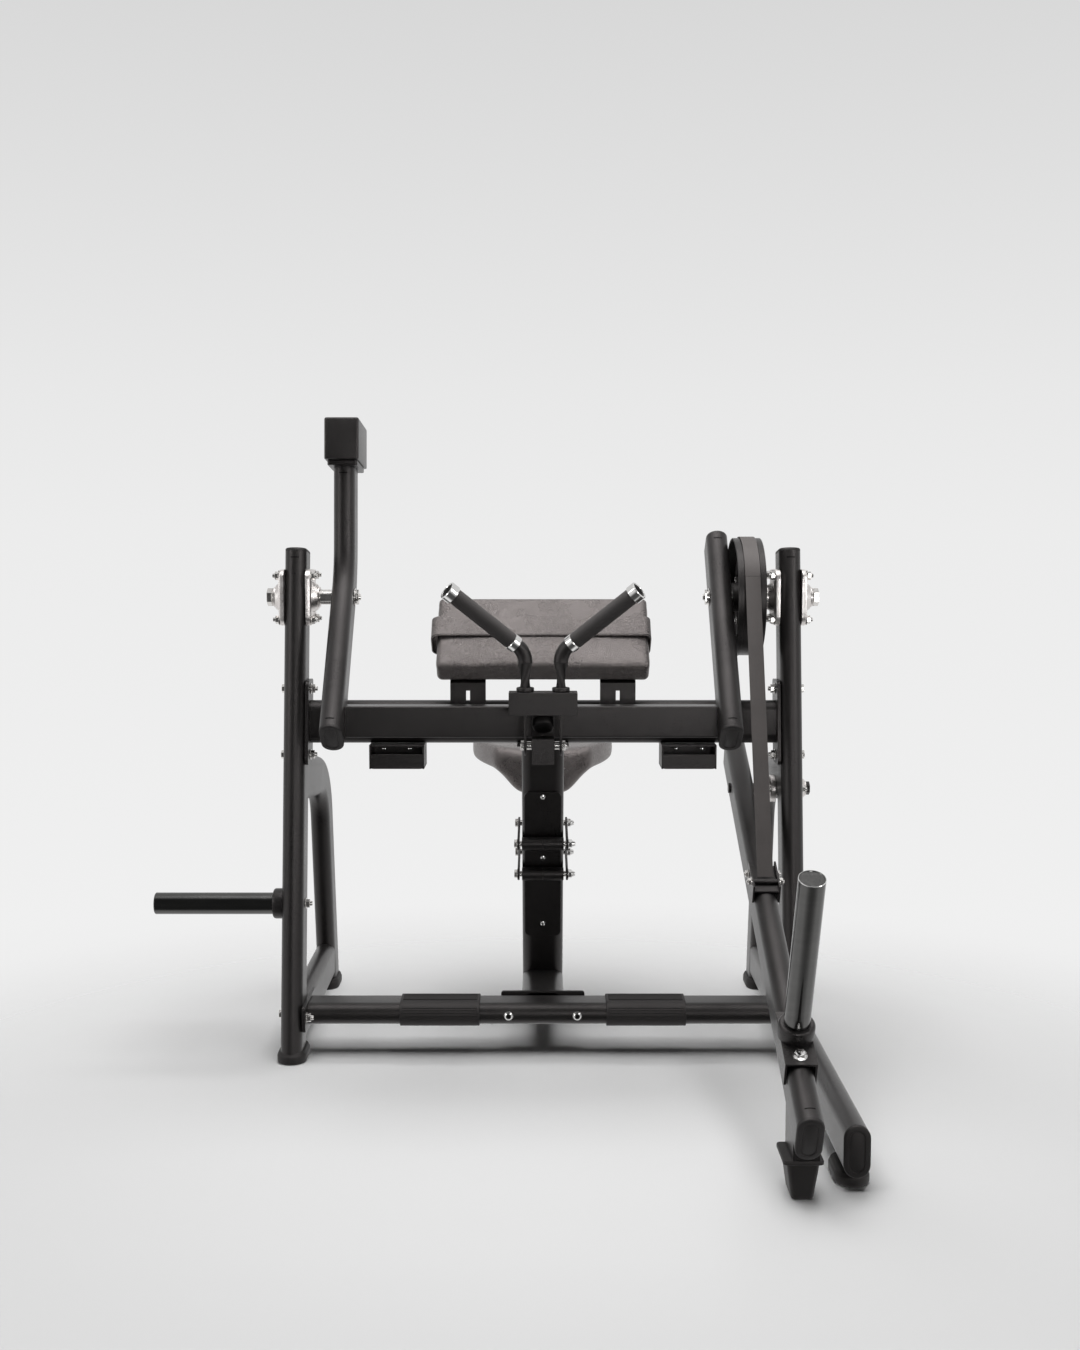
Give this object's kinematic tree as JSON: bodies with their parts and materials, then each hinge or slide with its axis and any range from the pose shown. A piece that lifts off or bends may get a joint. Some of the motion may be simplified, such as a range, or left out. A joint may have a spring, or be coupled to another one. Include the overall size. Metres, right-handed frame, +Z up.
{
  "type": "biceps curl machine",
  "caption": "Seated plate-loaded preacher curl machine: sloped arm pad, swinging handles on a counterweighted lever, belt-lifted weight arm and height-adjusting saddle seat.",
  "frame": {"origin": "middle of the machine's bounding box, on the floor", "axes": "+Z up; the user sits at +Y and faces -Y; the cam, belt and weight arm are at +X"},
  "size_m": [1.542, 1.505, 1.4739],
  "materials": {
    "powder_coat": "black textured powder coat",
    "black_rubber": "matt black moulded rubber",
    "bright_steel": "bright zinc and turned steel",
    "cast_housing": "pale cast metal bearing housing",
    "dark_chrome": "dark polished sleeve",
    "belt_grey": "flat grey drive belt",
    "pad_leather": "fine-grained black upholstery",
    "foam_grip": "matt black grip sleeve"
  },
  "bodies": {
    "frame": {"upright_left": "powder_coat", "upright_right": "powder_coat", "upright_cap_left": "black_rubber", "upright_cap_right": "black_rubber", "base_tube_left": "powder_coat", "base_tube_right": "powder_coat", "rear_leg_left": "powder_coat", "rear_leg_right": "powder_coat", "base_cap_right": "black_rubber", "foot_front_left": "black_rubber", "foot_front_right": "black_rubber", "foot_rear_left": "black_rubber", "foot_rear_right": "black_rubber", "low_crossbar": "powder_coat", "foot_pad_left": "black_rubber", "foot_pad_right": "black_rubber", "fixed_beam": "powder_coat", "tray_left": "powder_coat", "tray_right": "powder_coat", "lever_bearing_left_inner": "cast_housing", "lever_bearing_left_outer": "cast_housing", "lever_bearing_right_inner": "cast_housing", "lever_bearing_right_outer": "cast_housing", "arm_bearing_inner": "cast_housing", "arm_bearing_outer": "cast_housing", "storage_horn": "dark_chrome", "arm_pad": "pad_leather", "pad_band": "black_rubber", "centre_base_tube": "powder_coat", "centre_column": "powder_coat", "seat_mount_plate": "powder_coat"},
    "lever": {"lever_arm_left": "powder_coat", "lever_arm_right": "powder_coat", "lever_cap_left": "black_rubber", "lever_cap_right": "black_rubber", "moving_crossbar": "powder_coat", "counterweight": "powder_coat", "lever_shaft_left": "bright_steel", "lever_shaft_right": "bright_steel", "cam": "powder_coat", "belt_wrap": "belt_grey", "handle_hub": "powder_coat", "bumper": "black_rubber"},
    "handles": {"handle_yoke": "powder_coat", "yoke_pin": "bright_steel", "grip_cap_left": "bright_steel", "grip_cap_right": "bright_steel", "grip_left": "foam_grip", "grip_right": "foam_grip"},
    "weight_arm": {"weight_arm": "powder_coat", "weight_arm_cap": "black_rubber", "weight_arm_foot": "black_rubber", "horn_bracket": "powder_coat", "weight_horn": "dark_chrome", "belt_clevis": "powder_coat"},
    "belt": {"belt_run": "belt_grey"},
    "upper_link": {"seat_link_upper": "powder_coat"},
    "lower_link": {"seat_link_lower": "powder_coat"},
    "seat": {"seat_carriage": "powder_coat", "saddle_seat": "pad_leather"}
  },
  "joints": [
    {"name": "lever_swing", "type": "hinge", "parent": "frame", "child": "lever", "pos_m": [0.126, 0.24704, 1.057], "axis": [-1, 0, 0], "range_deg": [0, 100]},
    {"name": "handle_tilt", "type": "hinge", "parent": "lever", "child": "handles", "pos_m": [0.126, -0.01851, 0.742], "axis": [-1, 0, 0], "range_deg": [-20, 14]},
    {"name": "weight_arm_lift", "type": "hinge", "parent": "frame", "child": "weight_arm", "pos_m": [0.126, 0.28849, 0.598], "axis": [-1, 0, 0], "range_deg": [0, 45]},
    {"name": "belt_turn", "type": "hinge", "parent": "weight_arm", "child": "belt", "pos_m": [0.126, -0.14187, 0.46644], "axis": [-1, 0, 0], "range_deg": [-30.7, 0], "deforming": ["belt_run"]},
    {"name": "seat_lift", "type": "hinge", "parent": "frame", "child": "upper_link", "pos_m": [0.126, 0.26381, 0.46733], "axis": [1, 0, 0], "range_deg": [-15, 30]},
    {"name": "lower_link_turn", "type": "hinge", "parent": "frame", "child": "lower_link", "pos_m": [0.126, 0.28798, 0.38933], "axis": [1, 0, 0], "range_deg": [-15.5, 30.5]},
    {"name": "seat_level", "type": "hinge", "parent": "upper_link", "child": "seat", "pos_m": [0.126, 0.4288, 0.48733], "axis": [1, 0, 0], "range_deg": [-30.5, 15.5]}
  ],
  "couplings": [
    {"joint": "weight_arm_lift", "follows": "lever_swing", "ratio": 0.4448},
    {"joint": "belt_turn", "follows": "lever_swing", "ratio": -0.3018},
    {"joint": "lower_link_turn", "follows": "seat_lift", "ratio": 1},
    {"joint": "seat_level", "follows": "seat_lift", "ratio": -1}
  ]
}
